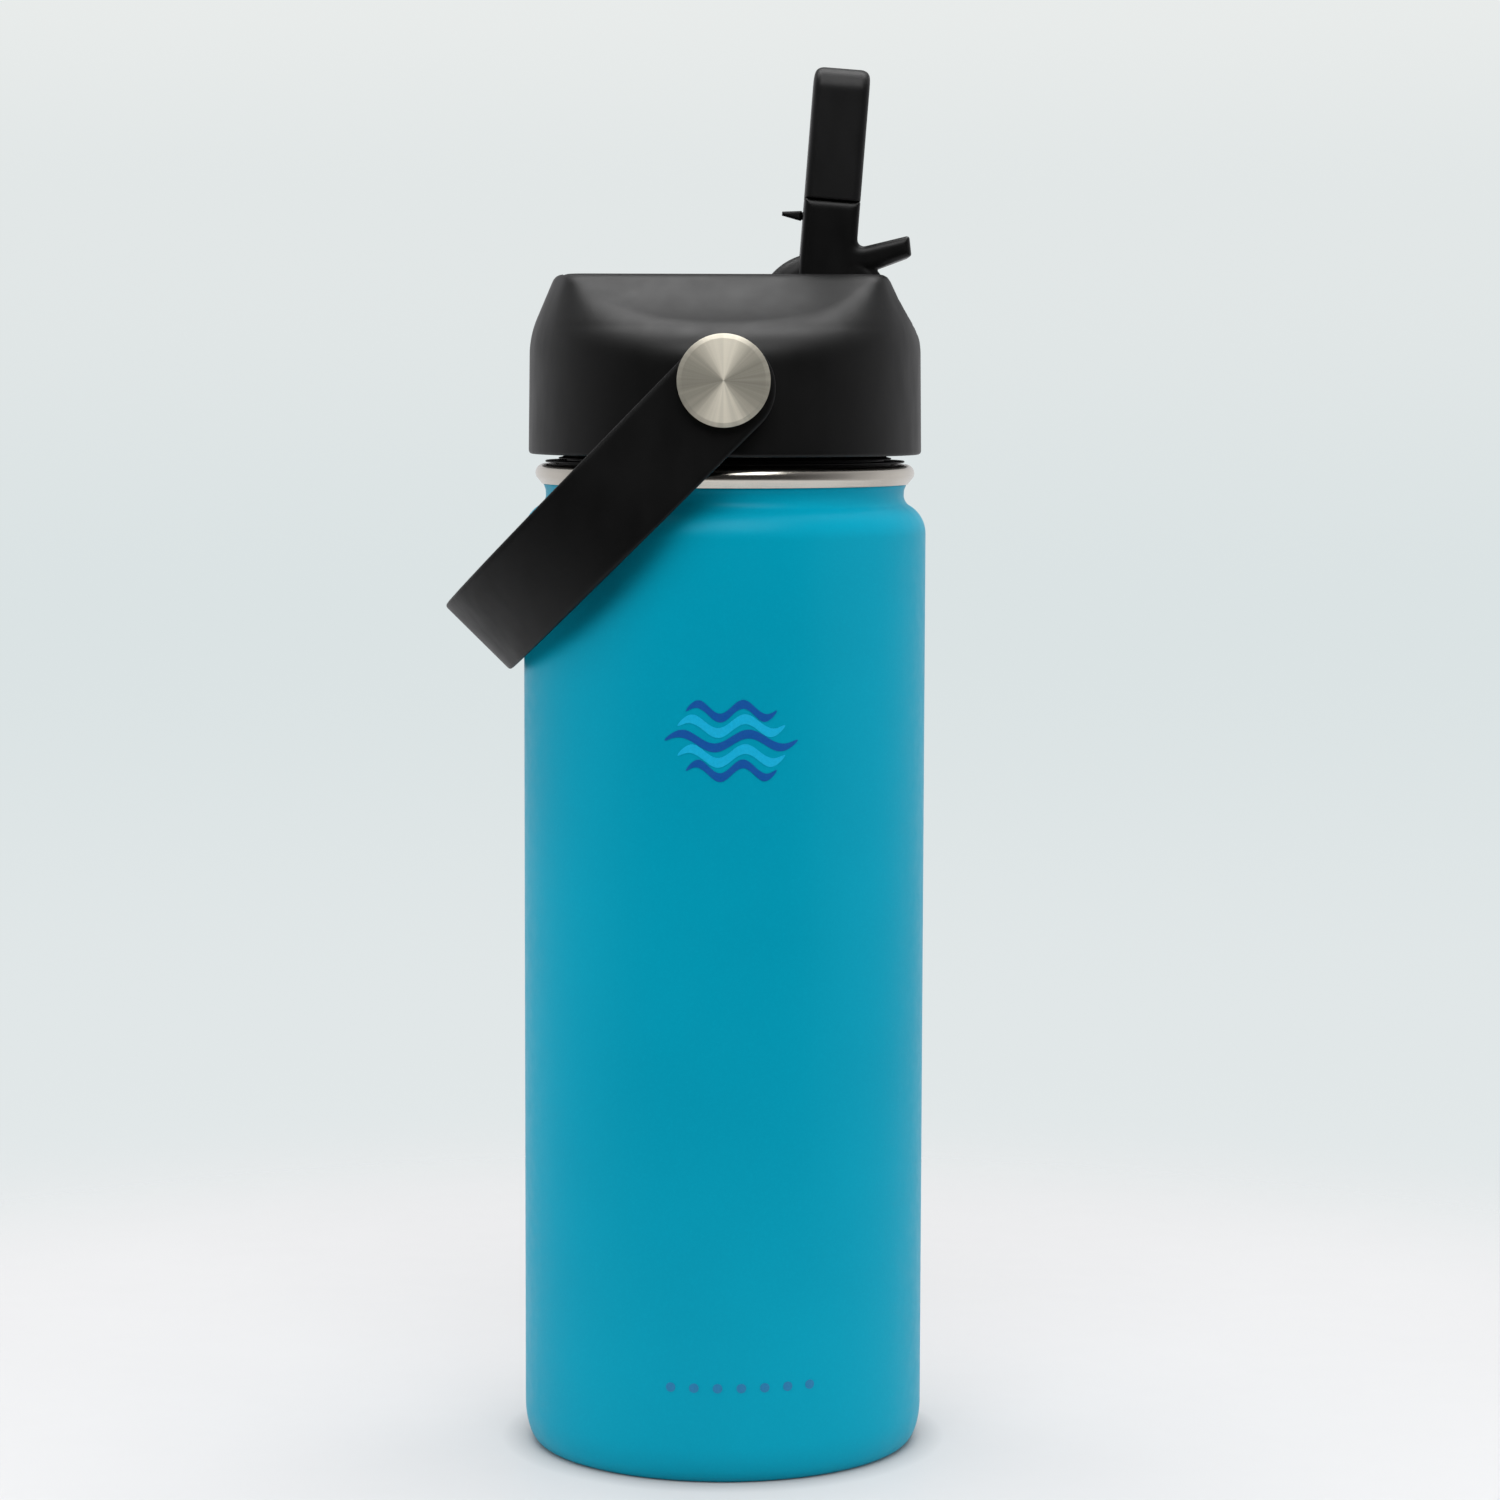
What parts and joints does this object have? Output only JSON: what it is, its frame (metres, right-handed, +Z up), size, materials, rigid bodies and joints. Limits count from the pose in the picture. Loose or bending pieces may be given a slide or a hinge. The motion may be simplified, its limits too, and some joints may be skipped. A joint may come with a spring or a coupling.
{
  "type": "insulated water bottle",
  "caption": "Vacuum-insulated steel water bottle with a screw-on straw lid, a flip-up spout with a thumb tab, and a swinging carry handle on steel pivots.",
  "frame": {"origin": "centre of the flat face under the flask, on the table, on the flask's axis", "axes": "+Z up along the flask's axis, -Y is the front, +X is the side that the open spout stands on"},
  "size_m": [0.0873, 0.0836, 0.2508],
  "materials": {
    "blue_paint": "satin powder coat with a fine texture",
    "bare_steel": "polished stainless steel",
    "button_steel": "steel, face brushed in circles",
    "seal_metal": "dull solder",
    "getter_metal": "pressed powder",
    "base_rubber": "matte",
    "black_silicone": "matte silicone",
    "cap_plastic": "fine moulded texture",
    "core_plastic": "smooth moulded",
    "spout_plastic": "smooth moulded",
    "straw_plastic": "smooth translucent",
    "washer_nylon": "smooth nylon",
    "handle_plastic": "soft-touch satin"
  },
  "bodies": {
    "flask": {"outer_shell": "blue_paint", "inner_liner": "bare_steel", "outer_bottom": "bare_steel", "base_cover": "base_rubber", "vacuum_seal_bead": "seal_metal", "getter_tablet": "getter_metal", "getter_bracket": "bare_steel"},
    "lid_seal": {"lid_gasket": "black_silicone"},
    "lid": {"cap_shell": "cap_plastic", "lid_core": "core_plastic", "straw": "straw_plastic", "nozzle_seal": "black_silicone", "vent_valve": "black_silicone", "vent_grommet": "black_silicone", "hinge_pin_near": "bare_steel", "hinge_pin_far": "bare_steel", "button_near": "button_steel", "button_far": "button_steel", "pivot_pin_near": "bare_steel", "pivot_pin_far": "bare_steel", "washer_near": "washer_nylon", "washer_far": "washer_nylon", "clip_near": "bare_steel", "clip_far": "bare_steel"},
    "spout": {"spout_base": "spout_plastic", "mouthpiece": "black_silicone", "spout_seal": "black_silicone", "vent_tooth": "black_silicone"},
    "handle": {"handle": "handle_plastic"}
  },
  "joints": [
    {"name": "lid_lift", "type": "slide", "parent": "flask", "child": "lid_seal", "axis": [0, 0, 1], "range_m": [0, 0.00701]},
    {"name": "lid_twist", "type": "hinge", "parent": "lid_seal", "child": "lid", "pos_m": [0, 0, 0.18], "axis": [0, 0, 1], "range_deg": [0, 630]},
    {"name": "spout_hinge", "type": "hinge", "parent": "lid", "child": "spout", "pos_m": [0.017, 0, 0.206], "axis": [0, -1, 0], "range_deg": [0, 94.4]},
    {"name": "handle_hinge", "type": "hinge", "parent": "lid", "child": "handle", "pos_m": [0, 0, 0.1946], "axis": [0, 1, 0], "range_deg": [0, 270]}
  ],
  "couplings": [
    {"joint": "lid_lift", "follows": "lid_twist", "m_per_rad": 0.00063662}
  ]
}
